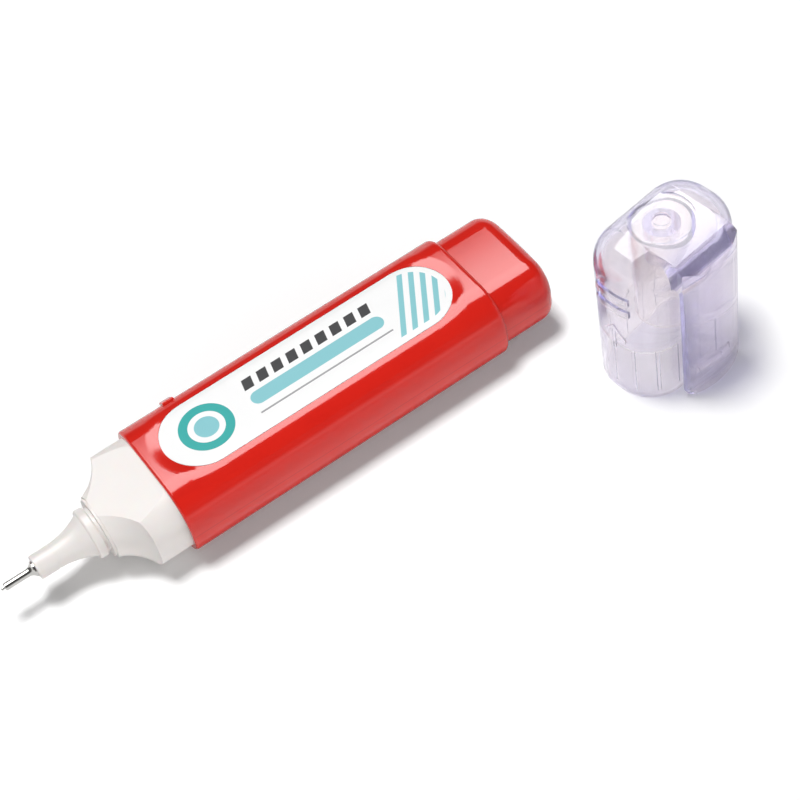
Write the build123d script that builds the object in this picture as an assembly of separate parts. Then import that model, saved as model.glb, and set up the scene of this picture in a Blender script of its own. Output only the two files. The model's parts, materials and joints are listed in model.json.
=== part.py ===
from build123d import *
import math
import os

# A squeeze correction pen lying on its broad back face, with its clear cap taken off and standing by it.
# X runs along the pen from the tip to the tail, Y to the far side and Z up, in millimetres.
# The origin is in the middle of the barrel's rest face. Places in front of the barrel are given as
# distances ahead of its front rim.

os.makedirs("parts", exist_ok=True)

# Barrel: a hollow flat-oval bottle with a narrower tail
barrel_length = 71.5
barrel_width = 27.3
barrel_thickness = 17.7
barrel_side_share = 0.44
barrel_wall = 1.3
barrel_front_round = 0.5
barrel_rear_round = 1.0
tail_length = 12.9
tail_inset = 1.25
tail_arch_radius = 200.0
tail_round = 3.5
rear_wall = 1.6

# Nub on the barrel's far upper edge
nub_length = 2.4
nub_width = 3.0
nub_proud = 0.55
nub_round = 0.25
nub_behind_rim = 10.8
nub_slope = 45.0

# Label and the bevelled recess that it lies in
label_behind_rim = 4.0
label_before_step = 4.3
label_length = barrel_length - label_behind_rim - label_before_step
label_width = 15.8
label_film = 0.12
recess_depth = 0.45
recess_border = 1.8
recess_bevel = 0.33
recess_soft_share = 0.3
recess_play = 0.1

# Shoulder: the white front plug that the cap seats on
seat_inset = 1.25
seat_length = 6.6
shoulder_length = 12.7
shoulder_front_diameter = 13.0
shoulder_front_height = 12.2
bell_sag = 1.3
lip_length = 0.45
lip_inset = 0.45
shoulder_web = 6.8
skirt_length = 6.5
skirt_wall = 1.4
press_play = 0.02

# Nozzle: the white cone with its collar, pressed into the shoulder
shank_diameter = 7.4
shank_end = 4.5
collar_diameter = 10.2
collar_length = 1.9
collar_gap = 0.6
collar_gap_diameter = 9.0
collar_round = 0.5
cone_base_diameter = 8.8
cone_length = 6.9
cone_sag = 0.45
neck_diameter = 5.0
neck_length = 4.1
neck_round = 0.3
neck_groove = 0.3
neck_groove_depth = 0.12
chamber_diameter = 5.2
chamber_front = 13.2

# Tip: the turned steel tube pressed into the nozzle
tip_shank_diameter = 2.6
tip_shank_length = 9.0
flange_diameter = 3.2
flange_rim = 0.35
flange_length = 1.7
tube_diameter = 1.5
tube_length = 4.7
tube_round = 0.2
tip_bore = 1.1
seat_bore = 0.82
seat_bore_length = 0.55

# Valve rod: the sprung needle whose end closes the tube
needle_diameter = 0.94
needle_end_diameter = 0.66
needle_proud = 0.7
needle_end_round = 0.2
needle_seat_gap = 0.02
rod_head_diameter = 3.6
rod_head_length = 0.8
rod_head_gap = 0.3
rod_pin_diameter = 1.3
rod_pin_end = 5.0

# Spring, and the slotted guide that holds it in the nozzle
spring_wire = 0.26
spring_mean_diameter = 2.5
spring_turns = 5
guide_front = 7.0
guide_slide_play = 0.08
guide_slots = 4
guide_slot_width = 1.0
guide_slot_depth = 1.1

# Mixing ball, loose in the barrel
ball_diameter = 6.0
ball_behind_middle = 18.0
ball_play = 0.15

# Cap body: drawn standing on its mouth, then turned and placed beside the tail
cap_height = 36.5
cap_wall = 0.95
cap_upper_wall = 1.6
cap_step_height = 12.5
cap_top = 1.8
cap_dome_share = 0.9
cap_place_x = 61.3
cap_place_y = -29.2
cap_turn = 8.2

# Cap band and pocket clip
band_width = 14.5
band_front_round = 5.2
band_back_round = 6.0
band_back_inset = 0.7
band_side_round = 0.4
clip_proud = 4.5
clip_thickness = 2.9
clip_crown = 1.9
clip_root = 7.5
clip_foot = 0.3
clip_foot_round = 2.0
clip_bead_radius = 0.9
clip_bead_width = 8.0
clip_bead_height = 5.4

# Cap inside: sleeve over the nozzle, socket for the tip, grip ribs at the mouth
sleeve_outer_diameter = 12.2
sleeve_inner_diameter = 10.8
sleeve_foot = 13.2
socket_outer_diameter = 7.0
socket_bore = 3.6
socket_length = 7.5
grip_rib_diameter = 0.9
grip_rib_height = 0.22
grip_rib_foot = 1.2
grip_ribs = 16

# Cap outside: dish on the top, thumb bars and arrow on one narrow end
dish_diameter = 12.4
dish_depth = 0.45
dimple_diameter = 3.2
dimple_depth = 0.4
thumb_bar_below_top = 13.2
thumb_bar_pitch = 3.3
thumb_bar_thick = 1.7
thumb_bar_width = 7.8
thumb_bar_proud = 0.5
thumb_bars = 2
arrow_below_bars = 10.8
arrow_length = 6.4
arrow_stroke = 0.7
arrow_half_width = 2.7
arrow_proud = 0.25

# Cutters run past the faces that they cut by this much
overrun = 1.0

barrel_side_radius = barrel_side_share * barrel_thickness
cap_dome_round = cap_dome_share * barrel_side_radius
axis_height = barrel_thickness / 2
front_rim = -barrel_length / 2
rear_step = barrel_length / 2
tail_end = rear_step + tail_length
shoulder_front = front_rim - shoulder_length
collar_back = shoulder_front - collar_gap
nozzle_front = collar_back - collar_length - cone_length - neck_length
tube_end = nozzle_front - flange_length - tube_length
pen_axis = Axis((0, 0, axis_height), (1, 0, 0))


def ahead(distance):
    """X of a place this far ahead of the barrel's front rim."""
    return front_rim - distance


def cross_plane(x):
    """The plane across the pen at x, with its own x along Y and its own y along Z."""
    return Plane(origin=(x, 0, axis_height), x_dir=(0, 1, 0), z_dir=(1, 0, 0))


def oval(inset):
    """The flat-oval section that barrel and cap share, drawn inwards by inset."""
    return RectangleRounded(
        barrel_width - 2 * inset, barrel_thickness - 2 * inset, barrel_side_radius - inset
    )


def oval_along(x_from, x_to, inset):
    return extrude(cross_plane(x_from) * oval(inset), x_to - x_from)


def bar_along(diameter, x_from, x_to):
    """A round bar on the pen's axis."""
    return extrude(cross_plane(x_from) * Circle(diameter / 2), x_to - x_from)


def turned(outline):
    """A solid turned round the pen's axis; the outline's own y is the radius."""
    plane = Plane(origin=(0, 0, axis_height), x_dir=(1, 0, 0), z_dir=(0, -1, 0))
    return revolve(plane * make_face(outline), pen_axis)


def label_block(border):
    """The label's round-ended outline, grown by a border, as an upright block through the top face."""
    middle = front_rim + label_behind_rim + label_length / 2
    outline = SlotOverall(label_length + 2 * border, label_width + 2 * border)
    return Pos(middle, 0, axis_height) * extrude(outline, axis_height + overrun)


def recess_rims(body, floor, rise):
    """The edges round the label's recess that lie higher than a rise above its floor."""
    return [
        edge
        for edge in body.edges()
        if front_rim < edge.bounding_box().min.X
        and edge.bounding_box().max.X < rear_step
        and floor.distance_to(edge) > rise
        and edge.bounding_box().min.Z > axis_height
        and edge.length < label_length
    ]


def make_barrel():
    body = oval_along(front_rim, rear_step, 0)
    floor = oval_along(front_rim, rear_step, recess_depth)
    body = body - (label_block(recess_play) - floor)
    body = chamfer(recess_rims(body, floor, recess_depth / 2), recess_border, recess_bevel)
    half_slope = math.atan2(recess_bevel, recess_border) / 2
    recess_soft_radius = recess_soft_share * recess_border / math.tan(half_slope)
    body = fillet(recess_rims(body, floor, recess_depth - label_film / 2), recess_soft_radius)
    body = fillet(body.faces().sort_by(Axis.X)[0].edges(), barrel_front_round)
    body = fillet(body.faces().sort_by(Axis.X)[-1].edges(), barrel_rear_round)
    arch_centre = Pos(tail_end - tail_arch_radius, 0, axis_height)
    tail = oval_along(rear_step - rear_wall, tail_end + overrun, tail_inset)
    tail = tail & (arch_centre * Cylinder(tail_arch_radius, barrel_width))
    tail = fillet(tail.faces().sort_by(Axis.X)[-1].edges(), tail_round)
    hollow = oval_along(front_rim - overrun, rear_step - rear_wall, barrel_wall)
    tail_hollow = oval_along(rear_step - rear_wall - overrun, tail_end, tail_inset + barrel_wall)
    tail_hollow = tail_hollow & (arch_centre * Cylinder(tail_arch_radius - rear_wall, barrel_width))
    return body + tail + make_nub() - hollow - tail_hollow


def make_nub():
    """The small stop moulded on the rounded upper edge of the far side."""
    hanging = (Align.CENTER, Align.CENTER, Align.MAX)
    nub = Box(nub_length, nub_width, barrel_wall + nub_proud, align=hanging)
    nub = fillet(nub.faces().sort_by(Axis.Z)[-1].edges(), nub_round)
    round_y = barrel_width / 2 - barrel_side_radius
    round_z = barrel_thickness - barrel_side_radius
    on_edge = Pos(front_rim + nub_behind_rim, round_y, round_z) * Rot(-nub_slope, 0, 0)
    return on_edge * Pos(0, 0, barrel_side_radius + nub_proud) * nub


def make_label():
    film = label_block(0) & oval_along(front_rim, rear_step, recess_depth - label_film)
    return film - oval_along(front_rim, rear_step, recess_depth)


def make_shoulder():
    seat_end = ahead(seat_length)
    bell_front = shoulder_front + lip_length
    front_radius = shoulder_front_diameter / 2
    seat_radius = barrel_width / 2 - seat_inset
    bell = turned(
        [
            Line((front_rim, 0), (bell_front, 0)),
            Line((bell_front, 0), (bell_front, front_radius)),
            ThreePointArc(
                (bell_front, front_radius),
                ((bell_front + seat_end) / 2, (front_radius + seat_radius) / 2 - bell_sag),
                (seat_end, seat_radius),
            ),
            Line((seat_end, seat_radius), (seat_end, barrel_width)),
            Line((seat_end, barrel_width), (front_rim, barrel_width)),
            Line((front_rim, barrel_width), (front_rim, 0)),
        ]
    )
    half_seat = barrel_thickness / 2 - seat_inset
    side_plane = Plane(origin=(0, 0, axis_height), x_dir=(1, 0, 0), z_dir=(0, -1, 0))
    wedge = make_face(
        Polyline(
            (front_rim, half_seat),
            (bell_front, shoulder_front_height / 2),
            (bell_front, -shoulder_front_height / 2),
            (front_rim, -half_seat),
            close=True,
        )
    )
    seat = oval_along(bell_front, front_rim, seat_inset) & bell
    seat = seat & extrude(side_plane * wedge, barrel_width, both=True)
    lip = bar_along(shoulder_front_diameter - 2 * lip_inset, shoulder_front, bell_front)
    plug_inset = barrel_wall + press_play
    plug_end = front_rim + skirt_length
    plug = oval_along(front_rim, plug_end, plug_inset)
    cup = oval_along(ahead(shoulder_length - shoulder_web), plug_end + overrun, plug_inset + skirt_wall)
    bore = bar_along(shank_diameter, shoulder_front - overrun, plug_end)
    return seat + lip + plug - cup - bore


def make_nozzle():
    collar_front = collar_back - collar_length
    cone_front = collar_front - cone_length
    shank_back = ahead(shank_end)
    shank = bar_along(shank_diameter - 2 * press_play, shoulder_front, shank_back)
    collar = bar_along(collar_diameter, collar_front, collar_back)
    collar = fillet(collar.edges(), collar_round)
    collar = collar + bar_along(collar_gap_diameter, collar_back, shoulder_front)
    base_radius = cone_base_diameter / 2
    neck_radius = neck_diameter / 2
    middle_radius = (base_radius + neck_radius) / 2 - cone_sag
    cone = turned(
        [
            Line((collar_front, 0), (collar_front, base_radius)),
            ThreePointArc(
                (collar_front, base_radius),
                ((collar_front + cone_front) / 2, middle_radius),
                (cone_front, neck_radius),
            ),
            Line((cone_front, neck_radius), (cone_front, 0)),
            Line((cone_front, 0), (collar_front, 0)),
        ]
    )
    neck = bar_along(neck_diameter, nozzle_front, cone_front)
    neck = fillet(neck.edges().group_by(Axis.X)[0], neck_round)
    groove = bar_along(neck_diameter + overrun, cone_front - neck_groove, cone_front)
    groove_diameter = neck_diameter - 2 * neck_groove_depth
    groove = groove - bar_along(groove_diameter, cone_front - neck_groove, cone_front)
    chamber = bar_along(chamber_diameter, ahead(chamber_front), shank_back + overrun)
    bore = bar_along(tip_shank_diameter, nozzle_front - overrun, ahead(chamber_front) + overrun)
    return shank + collar + cone + neck - groove - chamber - bore


def make_tip():
    cone_back = nozzle_front - flange_rim
    cone_front = nozzle_front - flange_length
    flange_radius = flange_diameter / 2
    tube_radius = tube_diameter / 2
    shank_radius = tip_shank_diameter / 2 - press_play
    shank_back = nozzle_front + tip_shank_length
    body = turned(
        [
            Line((shank_back, 0), (shank_back, shank_radius)),
            Line((shank_back, shank_radius), (nozzle_front, shank_radius)),
            Line((nozzle_front, shank_radius), (nozzle_front, flange_radius)),
            Line((nozzle_front, flange_radius), (cone_back, flange_radius)),
            TangentArc((cone_front, tube_radius), (cone_back, flange_radius), tangent=(1, 0)),
            Line((cone_front, tube_radius), (tube_end, tube_radius)),
            Line((tube_end, tube_radius), (tube_end, 0)),
            Line((tube_end, 0), (shank_back, 0)),
        ]
    )
    body = fillet(body.edges().filter_by(GeomType.CIRCLE).group_by(Axis.X)[0], tube_round)
    body = body - bar_along(tip_bore, tube_end + seat_bore_length, shank_back + overrun)
    return body - bar_along(seat_bore, tube_end - overrun, shank_back)


def make_valve_rod():
    step = tube_end + seat_bore_length + needle_seat_gap
    head_front = ahead(chamber_front - rod_head_gap)
    head_back = head_front + rod_head_length
    needle_end = bar_along(needle_end_diameter, tube_end - needle_proud, step)
    needle_end = fillet(needle_end.edges().group_by(Axis.X)[0], needle_end_round)
    needle = bar_along(needle_diameter, step, head_front)
    head = bar_along(rod_head_diameter, head_front, head_back)
    pin = bar_along(rod_pin_diameter, head_back, ahead(rod_pin_end))
    return needle_end + needle + head + pin


def make_valve_spring():
    """A close plain coil between the rod's head and the guide, as one unbroken wire."""
    start = ahead(chamber_front - rod_head_gap) + rod_head_length + spring_wire / 2
    stop = ahead(guide_front) - spring_wire / 2
    length = stop - start
    path = Helix(length / spring_turns, length, spring_mean_diameter / 2)
    wire_face = Plane(path @ 0, z_dir=path % 0) * Circle(spring_wire / 2)
    coil = sweep(wire_face, path, is_frenet=True)
    return Plane(origin=(start, 0, axis_height), x_dir=(0, 1, 0), z_dir=(1, 0, 0)) * coil


def make_spring_guide():
    front = ahead(guide_front)
    back = ahead(shank_end)
    body = bar_along(chamber_diameter - 2 * press_play, front, back)
    body = body - bar_along(rod_pin_diameter + 2 * guide_slide_play, front - overrun, back + overrun)
    slot = Box(
        back - front + 2 * overrun, guide_slot_width, guide_slot_depth + overrun,
        align=(Align.MIN, Align.CENTER, Align.MIN),
    )
    slot_floor = chamber_diameter / 2 - guide_slot_depth
    for turn in range(guide_slots):
        at = Pos(front - overrun, 0, axis_height) * Rot(360 / guide_slots * turn, 0, 0)
        body = body - at * Pos(0, 0, slot_floor) * slot
    return body


def make_mixing_ball():
    rest_height = barrel_wall + ball_play + ball_diameter / 2
    return Pos(ball_behind_middle, 0, rest_height) * Sphere(ball_diameter / 2)


def upright_oval(z_from, z_to, inset):
    """The cap's flat-oval section between two heights, in the cap's own frame."""
    return Pos(0, 0, z_from) * extrude(oval(inset), z_to - z_from)


def domed_oval(height, inset):
    body = upright_oval(0, height, inset)
    return fillet(body.faces().sort_by(Axis.Z)[-1].edges(), cap_dome_round - inset)


def upright_bar(diameter, z_from, z_to):
    return Pos(0, 0, z_from) * extrude(Circle(diameter / 2), z_to - z_from)


def make_clip_band():
    """The strap that runs over the cap's top and down its near face as the pocket clip."""
    front = -(barrel_thickness / 2 + clip_proud)
    gap_front = front + clip_thickness
    gap_back = -barrel_thickness / 2
    gap_radius = (gap_back - gap_front) / 2
    back = barrel_thickness / 2 - band_back_inset
    root = cap_height - clip_root
    bend = cap_height - band_front_round
    profile = make_face(
        [
            Line((front, clip_foot), (front, bend)),
            TangentArc((front, bend), (front + band_front_round, cap_height), tangent=(0, 1)),
            Line((front + band_front_round, cap_height), (back - band_back_round, cap_height)),
            TangentArc(
                (back - band_back_round, cap_height), (back, cap_height - band_back_round), tangent=(1, 0)
            ),
            Line((back, cap_height - band_back_round), (back, root)),
            Line((back, root), (gap_back, root)),
            ThreePointArc(
                (gap_back, root), ((gap_back + gap_front) / 2, root + gap_radius), (gap_front, root)
            ),
            Line((gap_front, root), (gap_front, clip_foot)),
            Line((gap_front, clip_foot), (front, clip_foot)),
        ]
    )
    strap = extrude(Plane.YZ * profile, band_width / 2, both=True)
    strap = fillet(strap.edges().filter_by(Axis.Y).group_by(Axis.Z)[0], clip_foot_round)
    crown_radius = (band_width**2 / 4 + clip_crown**2) / (2 * clip_crown)
    strap = strap & Pos(0, front + crown_radius, cap_height / 2) * Cylinder(crown_radius, cap_height)
    outer_edges = [
        edge
        for edge in strap.edges()
        if edge.bounding_box().max.Y < gap_front - clip_thickness / 2
        or edge.bounding_box().min.Z > cap_height - band_front_round - band_back_round
    ]
    sides = [edge for edge in outer_edges if edge.bounding_box().size.X < band_width / 2]
    strap = fillet(sides, band_side_round)
    bead = Cylinder(clip_bead_radius, clip_bead_width, rotation=(0, 90, 0))
    return strap + Pos(0, gap_front, clip_bead_height) * bead


def make_thumb_marks():
    """Two bars and an arrow, raised on the narrow end that faces the pen."""
    marks = None
    bars_foot = cap_height - thumb_bar_below_top
    end_block = Box(
        barrel_width, thumb_bar_width, cap_height, align=(Align.MAX, Align.CENTER, Align.MIN)
    )
    for bar in range(thumb_bars):
        foot = bars_foot + thumb_bar_pitch * bar
        ring = upright_oval(foot, foot + thumb_bar_thick, -thumb_bar_proud)
        ring = ring - upright_oval(foot, foot + thumb_bar_thick, cap_wall / 2)
        marks = (ring & end_block) if marks is None else marks + (ring & end_block)
    arrow_foot = bars_foot - arrow_below_bars
    point = arrow_foot + arrow_length
    half_stroke = arrow_stroke / 2
    slant = arrow_stroke * math.sqrt(2)
    arrow = make_face(
        Polyline(
            (half_stroke, arrow_foot),
            (half_stroke, point - slant - half_stroke),
            (arrow_half_width, point - slant - arrow_half_width),
            (arrow_half_width, point - arrow_half_width),
            (0, point),
            (-arrow_half_width, point - arrow_half_width),
            (-arrow_half_width, point - slant - arrow_half_width),
            (-half_stroke, point - slant - half_stroke),
            (-half_stroke, arrow_foot),
            close=True,
        )
    )
    end_plane = Plane(origin=(0, 0, 0), x_dir=(0, -1, 0), z_dir=(-1, 0, 0))
    arrow_block = extrude(end_plane * arrow, barrel_width)
    skin = upright_oval(0, cap_height, -arrow_proud) - upright_oval(0, cap_height, cap_wall / 2)
    return marks + (arrow_block & skin)


def make_cap():
    body = domed_oval(cap_height, 0) + make_clip_band() + make_thumb_marks()
    lower = upright_oval(-overrun, cap_step_height, cap_wall)
    upper = domed_oval(cap_height - cap_top, cap_upper_wall)
    body = body - lower - upper
    sleeve = upright_bar(sleeve_outer_diameter, sleeve_foot, cap_height - cap_top)
    sleeve = sleeve - upright_bar(sleeve_inner_diameter, sleeve_foot, cap_height - cap_top)
    socket_foot = cap_height - cap_top - socket_length
    socket = upright_bar(socket_outer_diameter, socket_foot, cap_height - cap_top)
    socket = socket - upright_bar(socket_bore, socket_foot, cap_height - cap_top)
    body = body + sleeve + socket
    rib_line = oval(cap_wall + grip_rib_height - grip_rib_diameter / 2).wire()
    grip_rib = upright_bar(grip_rib_diameter, grip_rib_foot, cap_step_height)
    for rib in range(grip_ribs):
        place = rib_line @ (rib / grip_ribs)
        body = body + Pos(place.X, place.Y, 0) * grip_rib
    dish = upright_bar(dish_diameter, cap_height - dish_depth, cap_height + overrun)
    dimple = upright_bar(dimple_diameter, cap_height - dish_depth - dimple_depth, cap_height)
    body = body - dish - dimple
    return Pos(cap_place_x, cap_place_y, 0) * Rot(0, 0, cap_turn) * body


part_makers = {
    "barrel": make_barrel,
    "label": make_label,
    "shoulder": make_shoulder,
    "nozzle": make_nozzle,
    "tip": make_tip,
    "valve_rod": make_valve_rod,
    "valve_spring": make_valve_spring,
    "spring_guide": make_spring_guide,
    "mixing_ball": make_mixing_ball,
    "cap": make_cap,
}

for node, make in part_makers.items():
    export_step(make(), f"parts/{node}.step")
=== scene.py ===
import json
import math

import bpy
from mathutils import Matrix, Vector


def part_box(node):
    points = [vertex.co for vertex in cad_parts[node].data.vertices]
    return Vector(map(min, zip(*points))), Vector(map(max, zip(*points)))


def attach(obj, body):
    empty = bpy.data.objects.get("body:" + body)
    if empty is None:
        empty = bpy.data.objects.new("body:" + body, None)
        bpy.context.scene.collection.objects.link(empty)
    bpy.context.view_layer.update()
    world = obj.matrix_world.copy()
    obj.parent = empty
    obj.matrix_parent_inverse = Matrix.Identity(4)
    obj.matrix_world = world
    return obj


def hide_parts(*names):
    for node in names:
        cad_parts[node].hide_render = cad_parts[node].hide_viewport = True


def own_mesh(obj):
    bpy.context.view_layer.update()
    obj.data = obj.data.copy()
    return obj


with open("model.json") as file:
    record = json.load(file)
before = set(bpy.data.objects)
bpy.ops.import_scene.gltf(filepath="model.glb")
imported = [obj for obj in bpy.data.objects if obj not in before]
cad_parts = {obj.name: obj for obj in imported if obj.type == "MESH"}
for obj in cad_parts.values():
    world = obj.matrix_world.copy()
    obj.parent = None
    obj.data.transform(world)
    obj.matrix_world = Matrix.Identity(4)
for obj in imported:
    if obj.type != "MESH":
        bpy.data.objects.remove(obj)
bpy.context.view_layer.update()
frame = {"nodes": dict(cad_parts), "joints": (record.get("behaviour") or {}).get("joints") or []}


# Barrel: the squeeze bottle that holds the fluid and is the pen's body. It is blow-moulded in
# glossy red plastic, and the two halves of the mould leave a faint seam along its narrow sides.
class Shade:
    """One socket among a material's nodes. Arithmetic on it adds Math nodes."""

    def __init__(self, tree, socket=None):
        self.tree = tree
        self.socket = socket

    def node(self, kind, settings=None, inputs=None, output=0):
        """Adds a node with its settings and the values or links of its sockets."""
        made = self.tree.nodes.new("ShaderNode" + kind)
        for name, value in (settings or {}).items():
            setattr(made, name, value)
        for name, value in (inputs or {}).items():
            if isinstance(value, Shade):
                self.tree.links.new(value.socket, made.inputs[name])
            else:
                made.inputs[name].default_value = value
        if len(made.outputs) > 0:
            return Shade(self.tree, made.outputs[output])
        return None

    def output(self, name):
        """Another output of the same node."""
        return Shade(self.tree, self.socket.node.outputs[name])

    def math(self, operation, first, second=0.0):
        return self.node("Math", {"operation": operation}, {0: first, 1: second})

    def __add__(self, other):
        return self.math("ADD", self, other)

    __radd__ = __add__

    def __sub__(self, other):
        return self.math("SUBTRACT", self, other)

    def __rsub__(self, other):
        return self.math("SUBTRACT", other, self)

    def __mul__(self, other):
        return self.math("MULTIPLY", self, other)

    __rmul__ = __mul__

    def __truediv__(self, other):
        return self.math("DIVIDE", self, other)

    def __abs__(self):
        return self.math("ABSOLUTE", self)

    def __lt__(self, other):
        return self.math("LESS_THAN", self, other)

    def __gt__(self, other):
        return self.math("GREATER_THAN", self, other)

    def at_least(self, other):
        return self.math("MAXIMUM", self, other)

    def root(self):
        return self.math("SQRT", self)

    def fraction(self):
        return self.math("FRACT", self)

    def step(self, low, high):
        """0 below low, 1 above high, smooth between."""
        limits = {0: self, 1: low, 2: high, 3: 0.0, 4: 1.0}
        return self.node("MapRange", {"interpolation_type": "SMOOTHSTEP"}, limits)

    def above(self, limit, blur):
        return self.step(limit - blur, limit + blur)

    def below(self, limit, blur):
        return 1.0 - self.above(limit, blur)

    def between(self, low, high, blur):
        return self.above(low, blur) * self.below(high, blur)

    def blend(self, first, second):
        """The first colour where this is 0 and the second where it is 1."""
        return self.node("Mix", {"data_type": "RGBA"}, {0: self, 6: first, 7: second}, 2)

    def paint(self, colour, mask):
        """Lays a colour over this one where the mask is 1."""
        return mask.blend(self, colour)

    def stretched(self, scale):
        return self.node("Mapping", {}, {"Vector": self, "Scale": scale})

    def noise(self, scale, detail):
        return self.node("TexNoise", {}, {"Vector": self, "Scale": scale, "Detail": detail})

    def relief(self, strength, depth):
        """A bumpy normal with this as its height."""
        return self.node("Bump", {}, {"Strength": strength, "Distance": depth, "Height": self})


def new_finish(name):
    """An empty material, and the Object coordinates that its patterns follow."""
    material = bpy.data.materials.new(name)
    material.use_nodes = True
    material.node_tree.nodes.clear()
    return material, Shade(material.node_tree).node("TexCoord", output="Object")


def dress(node, material):
    for place in frame["nodes"][node].material_slots:
        place.material = material


barrel_low, barrel_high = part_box("barrel")
seam_height = (barrel_low[2] + barrel_high[2]) / 2
seam_half_width = 0.0001
seam_blur = 0.00006
deep_red = (0.66, 0.012, 0.006, 1)
bright_red = (0.72, 0.018, 0.009, 1)
flow_red = (0.58, 0.010, 0.006, 1)
seam_red = (0.42, 0.008, 0.006, 1)
# painted bounce light: the grey that light bouncing off the barrel sees instead of its red
grey_for_bounce_light = (0.20, 0.15, 0.15, 1)

red, spot = new_finish("red_gloss_plastic")
height = spot.node("SeparateXYZ", {}, {0: spot}, "Z")
flow = spot.stretched((0.25, 1.0, 1.0)).noise(scale=220.0, detail=3.0)
peel = spot.noise(scale=900.0, detail=2.0)
cloud = spot.noise(scale=70.0, detail=2.0)
seam = abs(height - seam_height).below(seam_half_width, seam_blur)
bounced = spot.node("LightPath", output="Is Diffuse Ray")
colour = cloud.blend(deep_red, bright_red)
colour = colour.paint(flow_red, flow.step(low=0.52, high=0.75) * 0.35)
colour = colour.paint(seam_red, seam * 0.5)
# For light bouncing off it the barrel's colour is painted grey, so that it throws no red glow onto
# the table beside it.
colour = colour.paint(grey_for_bounce_light, bounced * 0.8)
skin = spot.node("BsdfPrincipled", {}, {
    "Base Color": colour,
    "Roughness": 0.09 + cloud * 0.03 + peel * 0.02,
    "IOR": 1.55,
    "Normal": (peel * 0.3 + flow * 0.7 + seam * 2.4).relief(strength=0.05, depth=0.00003),
})
skin.node("OutputMaterial", {}, {"Surface": skin})
dress("barrel", red)


# Label: a thin printed plastic film with round ends, cut to the bevelled bed in the barrel's top
# face and stuck there. Its print is a ring, a row of dashes, a bar, a rule and hatching on white,
# laid out in millimetres from the label's middle.
millimetres = 1000.0
label_low, label_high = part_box("label")
label_middle = (label_low[0] + label_high[0]) / 2 * millimetres
label_half_width = label_high[1] * millimetres
label_straight_half = (label_high[0] - label_low[0]) / 2 * millimetres - label_half_width
print_blur = 0.05
white_margin = 1.3
ring_middle = -22.4
ring_outer_radius = 5.4
ring_inner_radius = 3.6
disc_radius = 2.4
dash_across = 3.5
dash_half_height = 1.285
dash_height_blur = 0.035
dash_start = -13.2
dash_end = 16.5
dash_pitch = 3.3
dash_lean = 0.25
dash_shares = (0.03, 0.67)
dash_share_blur = 0.01
bar_middle = 2.0
bar_across = -0.55
bar_straight_half = 13.2
bar_radius = 1.6
rule_across = -4.0
rule_start = -12.85
rule_end = 16.85
rule_half_height = 0.19
rule_height_blur = 0.03
hatch_start = 20.25
hatch_pitch = 2.6
hatch_lean = 0.6
hatch_shares = (0.04, 0.52)
hatch_share_blur = 0.02
film_white = (0.90, 0.90, 0.90, 1)
film_bright = (0.94, 0.94, 0.935, 1)
teal = (0.008, 0.37, 0.35, 1)
pale_teal = (0.22, 0.55, 0.60, 1)
rule_grey = (0.30, 0.30, 0.31, 1)
dash_black = (0.018, 0.018, 0.02, 1)


def distance(along, across):
    return (along * along + across * across).root()


film, spot = new_finish("printed_label_film")
place = spot.node("SeparateXYZ", {}, {0: spot}, "X")
along = place * millimetres - label_middle
across = place.output("Y") * millimetres

past_end = (abs(along) - label_straight_half).at_least(0.0)
from_edge = distance(past_end, across) - label_half_width
field = from_edge.below(-white_margin, print_blur)

from_ring = distance(along - ring_middle, across)
ring = from_ring.between(ring_inner_radius, ring_outer_radius, print_blur)
disc = from_ring.below(disc_radius, print_blur)

dash_line = along - across * dash_lean
dashes = (dash_line / dash_pitch).fraction().between(*dash_shares, dash_share_blur)
dashes = dashes * abs(across - dash_across).below(dash_half_height, dash_height_blur)
dashes = dashes * dash_line.between(dash_start, dash_end, print_blur)

past_bar = (abs(along - bar_middle) - bar_straight_half).at_least(0.0)
bar = distance(past_bar, across - bar_across).below(bar_radius, print_blur)

rule = along.between(rule_start, rule_end, print_blur)
rule = rule * abs(across - rule_across).below(rule_half_height, rule_height_blur)

hatch_line = along - across * hatch_lean
hatch = (hatch_line / hatch_pitch).fraction().between(*hatch_shares, hatch_share_blur)
hatch = hatch * hatch_line.above(hatch_start, print_blur) * field

grain = spot.noise(scale=3000.0, detail=2.0)
mottle = spot.noise(scale=160.0, detail=2.0)
colour = mottle.blend(film_white, film_bright)
colour = colour.paint(pale_teal, hatch)
colour = colour.paint(teal, ring)
colour = colour.paint(pale_teal, disc)
colour = colour.paint(pale_teal, bar)
colour = colour.paint(rule_grey, rule)
colour = colour.paint(dash_black, dashes)
skin = spot.node("BsdfPrincipled", {}, {
    "Base Color": colour,
    "Roughness": 0.46 + mottle * 0.10,
    "IOR": 1.48,
    "Specular IOR Level": 0.3,
    "Normal": (grain * 0.6 + mottle * 0.4).relief(strength=0.06, depth=0.00002),
})
skin.node("OutputMaterial", {}, {"Surface": skin})
dress("label", film)


# Mixing ball: a ground steel ball that lies loose in the barrel and stirs the fluid when the pen
# is shaken. It goes in before the mouth is closed, and dried fluid clings to it in patches.
ball_grey = (0.50, 0.50, 0.51, 1)
dried_white = (0.82, 0.82, 0.80, 1)

ball_steel, spot = new_finish("ground_ball_steel")
patch = spot.noise(scale=500.0, detail=4.0).step(low=0.52, high=0.60)
scuff = spot.noise(scale=3500.0, detail=2.0)
skin = spot.node("BsdfPrincipled", {}, {
    "Base Color": patch.blend(ball_grey, dried_white),
    "Metallic": 1.0 - patch,
    "Roughness": 0.18 + patch * 0.5 + scuff * 0.08,
    "Normal": (patch * 0.8 + scuff * 0.2).relief(strength=0.2, depth=0.00002),
})
skin.node("OutputMaterial", {}, {"Surface": skin})
dress("mixing_ball", ball_steel)


# Shoulder: the white plug that closes the barrel's mouth, with the oval seat that the cap pushes
# over. It is moulded in satin plastic and pressed into the barrel.
shoulder_cream = (0.79, 0.745, 0.72, 1)
shoulder_white = (0.84, 0.80, 0.775, 1)

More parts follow.
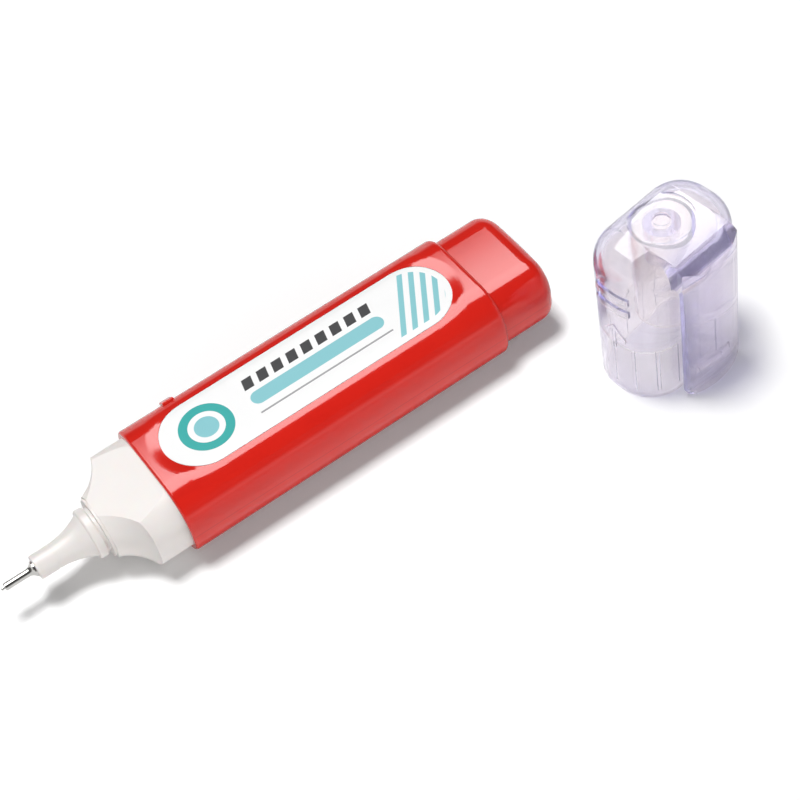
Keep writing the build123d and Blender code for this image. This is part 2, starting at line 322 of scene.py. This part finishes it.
white, spot = new_finish("white_satin_shoulder")
grain = spot.noise(scale=2200.0, detail=3.0)
mottle = spot.noise(scale=120.0, detail=3.0)
skin = spot.node("BsdfPrincipled", {}, {
    "Base Color": mottle.blend(shoulder_cream, shoulder_white),
    "Roughness": 0.38 + mottle * 0.12,
    "IOR": 1.49,
    "Subsurface Weight": 0.12,
    "Subsurface Scale": 0.0015,
    "Normal": (grain * 0.7 + mottle * 0.3).relief(strength=0.12, depth=0.00003),
})
skin.node("OutputMaterial", {}, {"Surface": skin})
dress("shoulder", white)


# Nozzle: the collar, hollow cone and neck that lead the fluid to the tip, in one white moulding.
# It is pressed into the shoulder. Its mould was turned, and left faint rings on the satin skin.
nozzle_cream = (0.79, 0.75, 0.725, 1)
nozzle_white = (0.84, 0.80, 0.775, 1)

cone_white, spot = new_finish("white_satin_nozzle")
turning = spot.stretched((6.0, 0.4, 0.4)).noise(scale=900.0, detail=2.0)
mottle = spot.noise(scale=150.0, detail=3.0)
skin = spot.node("BsdfPrincipled", {}, {
    "Base Color": mottle.blend(nozzle_cream, nozzle_white),
    "Roughness": 0.34 + turning * 0.12,
    "IOR": 1.49,
    "Subsurface Weight": 0.12,
    "Subsurface Scale": 0.0015,
    "Normal": turning.relief(strength=0.10, depth=0.00002),
})
skin.node("OutputMaterial", {}, {"Surface": skin})
dress("nozzle", cone_white)


# Tip and valve needle: the steel tube that lays the fluid down, pressed into the nozzle, and the
# needle that closes it from inside. Both are turned from bar and polished, with fine lathe rings.
steel_grey = (0.56, 0.55, 0.53, 1)
steel_bright = (0.68, 0.67, 0.65, 1)

steel, spot = new_finish("polished_turned_steel")
rings = spot.stretched((10.0, 0.3, 0.3)).noise(scale=1500.0, detail=2.0)
stain = spot.noise(scale=700.0, detail=2.0)
skin = spot.node("BsdfPrincipled", {}, {
    "Base Color": stain.blend(steel_grey, steel_bright),
    "Metallic": 1.0,
    "Roughness": 0.12 + rings * 0.10,
    "Normal": rings.relief(strength=0.08, depth=0.00001),
})
skin.node("OutputMaterial", {}, {"Surface": skin})
dress("tip", steel)
dress("valve_rod", steel)


# Valve spring: a coil of drawn steel wire between the needle's head and the guide, which holds the
# needle closed and shortens as the needle is pushed in. A smoothed copy of its mesh takes the
# node's place.
wire_dark = (0.38, 0.38, 0.38, 1)
wire_grey = (0.50, 0.50, 0.49, 1)
merge_distance = 0.000002
smooth_angle = math.radians(40.0)

spring_wire, spot = new_finish("drawn_spring_wire")
streak = spot.noise(scale=4000.0, detail=2.0)
skin = spot.node("BsdfPrincipled", {}, {
    "Base Color": streak.blend(wire_dark, wire_grey),
    "Metallic": 1.0,
    "Roughness": 0.28 + streak * 0.12,
    "Normal": streak.relief(strength=0.1, depth=0.00001),
})
skin.node("OutputMaterial", {}, {"Surface": skin})
dress("valve_spring", spring_wire)

coil_low, coil_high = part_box("valve_spring")
coil_length = coil_high[0] - coil_low[0]
press = next(joint for joint in frame["joints"] if joint["name"] == "valve_press")
needle_travel = press["range_m"][1]
bpy.ops.object.select_all(action="DESELECT")
coil = bpy.data.objects.new("sprung_coil", frame["nodes"]["valve_spring"].data.copy())
bpy.context.scene.collection.objects.link(coil)
bpy.context.view_layer.objects.active = coil
coil.select_set(True)
bpy.ops.object.mode_set(mode="EDIT")
bpy.ops.mesh.select_all(action="SELECT")
bpy.ops.mesh.remove_doubles(threshold=merge_distance)
bpy.ops.object.mode_set(mode="OBJECT")
bpy.ops.object.shade_smooth_by_angle(angle=smooth_angle)
coil.select_set(False)
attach(coil, "pen")
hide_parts("valve_spring")
1.0 - needle_travel / coil_length
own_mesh(coil)


# Spring guide: the slotted white plug behind the spring, which steadies the needle's back end and
# lets the fluid past. It is moulded with a dull skin and pressed into the nozzle from behind.
guide_cream = (0.72, 0.71, 0.69, 1)
guide_pale = (0.80, 0.79, 0.77, 1)

guide_white, spot = new_finish("white_dull_guide")
grain = spot.noise(scale=1600.0, detail=3.0)
skin = spot.node("BsdfPrincipled", {}, {
    "Base Color": grain.blend(guide_cream, guide_pale),
    "Roughness": 0.5 + grain * 0.1,
    "Normal": grain.relief(strength=0.2, depth=0.00003),
})
skin.node("OutputMaterial", {}, {"Surface": skin})
dress("spring_guide", guide_white)


# Cap: one clear moulding with a faint violet tint that gathers where the plastic is thick. It
# pushes over the shoulder's seat and clips to a pocket by its strap. Here it stands on its mouth.
# Some light goes straight through it, and more of it towards the lamps, so its shadow stays pale.
clear_warm = (0.970, 0.944, 0.910, 1)
clear_bright = (0.982, 0.956, 0.922, 1)
violet = (0.36, 0.29, 0.92, 1)
seen_cover = 0.88
shadow_cover = 0.34

clear, spot = new_finish("clear_violet_plastic")
swirl = spot.stretched((1.0, 1.0, 0.3)).noise(scale=140.0, detail=3.0)
haze = spot.noise(scale=60.0, detail=2.0)
shaded = spot.node("LightPath", output="Is Shadow Ray")
skin = spot.node("BsdfPrincipled", {}, {
    "Base Color": haze.blend(clear_warm, clear_bright),
    "Roughness": 0.012 + haze * 0.02,
    "IOR": 1.26,
    "Transmission Weight": 1.0,
    "Coat Weight": 0.8,
    "Coat Roughness": 0.02,
    "Alpha": seen_cover - shaded * (seen_cover - shadow_cover),
    "Normal": swirl.relief(strength=0.03, depth=0.00003),
})
tint = spot.node("VolumeAbsorption", {}, {"Color": violet, "Density": 50.0})
skin.node("OutputMaterial", {}, {"Surface": skin, "Volume": tint})
dress("cap", clear)


# Floor: the white table top that the pen lies on and the cap stands on, a plain board with a faint
# fibre. Seen straight or through the cap it is lifted to white and fades into the backdrop far
# off. It lies a hair below the cap's mouth, so that the two faces don't meet.
table_size = 4.0
table_drop = 0.00004
fade_start = 0.20
fade_end = 0.55
fibre_grey = (0.90, 0.90, 0.90, 1)
fibre_pale = (0.92, 0.92, 0.92, 1)
table_white = (1.0, 1.0, 1.0, 1)
near_lift = (0.085, 0.085, 0.085, 1)
no_lift = (0.0, 0.0, 0.0, 1)

bpy.ops.object.select_all(action="DESELECT")
bpy.ops.mesh.primitive_plane_add(size=table_size, location=(0.0, 0.0, -table_drop))
floor = bpy.context.object
floor.name = "table_top"
board, spot = new_finish("pale_table")
fibre = spot.noise(scale=300.0, detail=3.0)
rays = spot.node("LightPath", output="Is Camera Ray")
looked_at = rays.at_least(rays.output("Is Transmission Ray"))
far_off = spot.node("VectorMath", {"operation": "LENGTH"}, {0: spot}, "Value")
lift = far_off.step(fade_start, fade_end).blend(near_lift, table_white)
skin = spot.node("BsdfPrincipled", {}, {
    "Base Color": fibre.blend(fibre_grey, fibre_pale).paint(table_white, looked_at),
    "Roughness": 0.7,
    "Specular IOR Level": 0.0,
    "Emission Color": looked_at.blend(no_lift, lift),
    "Emission Strength": 1.0,
})
skin.node("OutputMaterial", {}, {"Surface": skin})
floor.data.materials.append(board)


# Light: a key lamp high behind the pen gives the light and shade, and a broad softbox gives the
# gloss alone. The room is white to the eye, dim in reflections from above, and gives a low fill
# from the near side.
def hang_lamp(name, width, depth, energy, place):
    lamp = bpy.data.objects.new(name, bpy.data.lights.new(name, "AREA"))
    bpy.context.scene.collection.objects.link(lamp)
    lamp.data.shape = "RECTANGLE"
    lamp.data.size = width
    lamp.data.size_y = depth
    lamp.data.energy = energy
    lamp.location = place
    return lamp


key_lamp = hang_lamp("key_lamp", width=0.32, depth=0.32, energy=12.3, place=(-0.08, 0.18, 1.20))
key_lamp.visible_glossy = False
key_lamp.visible_transmission = False
softbox = hang_lamp("softbox", width=0.80, depth=0.50, energy=8.8, place=(0.04, 0.222, 0.62))
softbox.visible_diffuse = False
softbox.visible_transmission = False

room_white = (1.0, 1.0, 1.0, 1)
dimmed_share = 0.90
mirror_loss_through_cap = 0.8
all_round_fill = 0.06
near_fill = 1.4

room = bpy.data.worlds.new("pale_room")
bpy.context.scene.world = room
room.use_nodes = True
room.node_tree.nodes.clear()
rays = Shade(room.node_tree).node("LightPath", output="Is Camera Ray")
through = rays.output("Transmission Depth") > 0.5
mirrored = rays.output("Is Glossy Ray") * (1.0 - through * mirror_loss_through_cap)
seen = rays.at_least(mirrored).at_least(through) * (rays.output("Diffuse Depth") < 0.5)
way = rays.node("SeparateXYZ", {}, {0: rays.node("TexCoord", output="Generated")}, "Y")
rise = way.output("Z")
backdrop = 1.0 - mirrored * rise.step(low=0.05, high=0.30) * dimmed_share
near_side = (0.0 - way).step(low=0.0, high=0.5)
fill = all_round_fill + near_side * (1.0 - rise.step(low=0.35, high=0.60)) * near_fill
level = seen * backdrop + (1.0 - seen) * fill
glow = rays.node("Background", {}, {"Color": room_white, "Strength": level})
glow.node("OutputWorld", {}, {"Surface": glow})


# Camera: a long lens that looks down from the near side of the tip and is a little rolled. Its
# place, turn and lens were fitted to the photograph.
elevation = math.radians(52.08)
azimuth = math.radians(-114.34)
roll = math.radians(-13.07)
aim = Vector((0.0109, -0.01259, 0.0091))
stand_off = 0.38052
sensor_width = 36.0
picture_pixels = 800.0
lens_pixels = 2031.28

away = Vector((
    math.cos(elevation) * math.cos(azimuth),
    math.cos(elevation) * math.sin(azimuth),
    math.sin(elevation),
))
right = Vector((-math.sin(azimuth), math.cos(azimuth), 0.0))
up = away.cross(right)
rolled_right = right * math.cos(roll) + up * math.sin(roll)
rolled_up = up * math.cos(roll) - right * math.sin(roll)
turn = Matrix((rolled_right, rolled_up, away)).transposed().to_4x4()
camera = bpy.data.objects.new("camera", bpy.data.cameras.new("camera"))
bpy.context.scene.collection.objects.link(camera)
camera.matrix_world = Matrix.Translation(aim + away * stand_off) @ turn
camera.data.sensor_width = sensor_width
camera.data.lens = sensor_width * lens_pixels / picture_pixels
camera.data.clip_start = 0.01
bpy.context.scene.camera = camera

bpy.context.scene.view_settings.view_transform = "Standard"
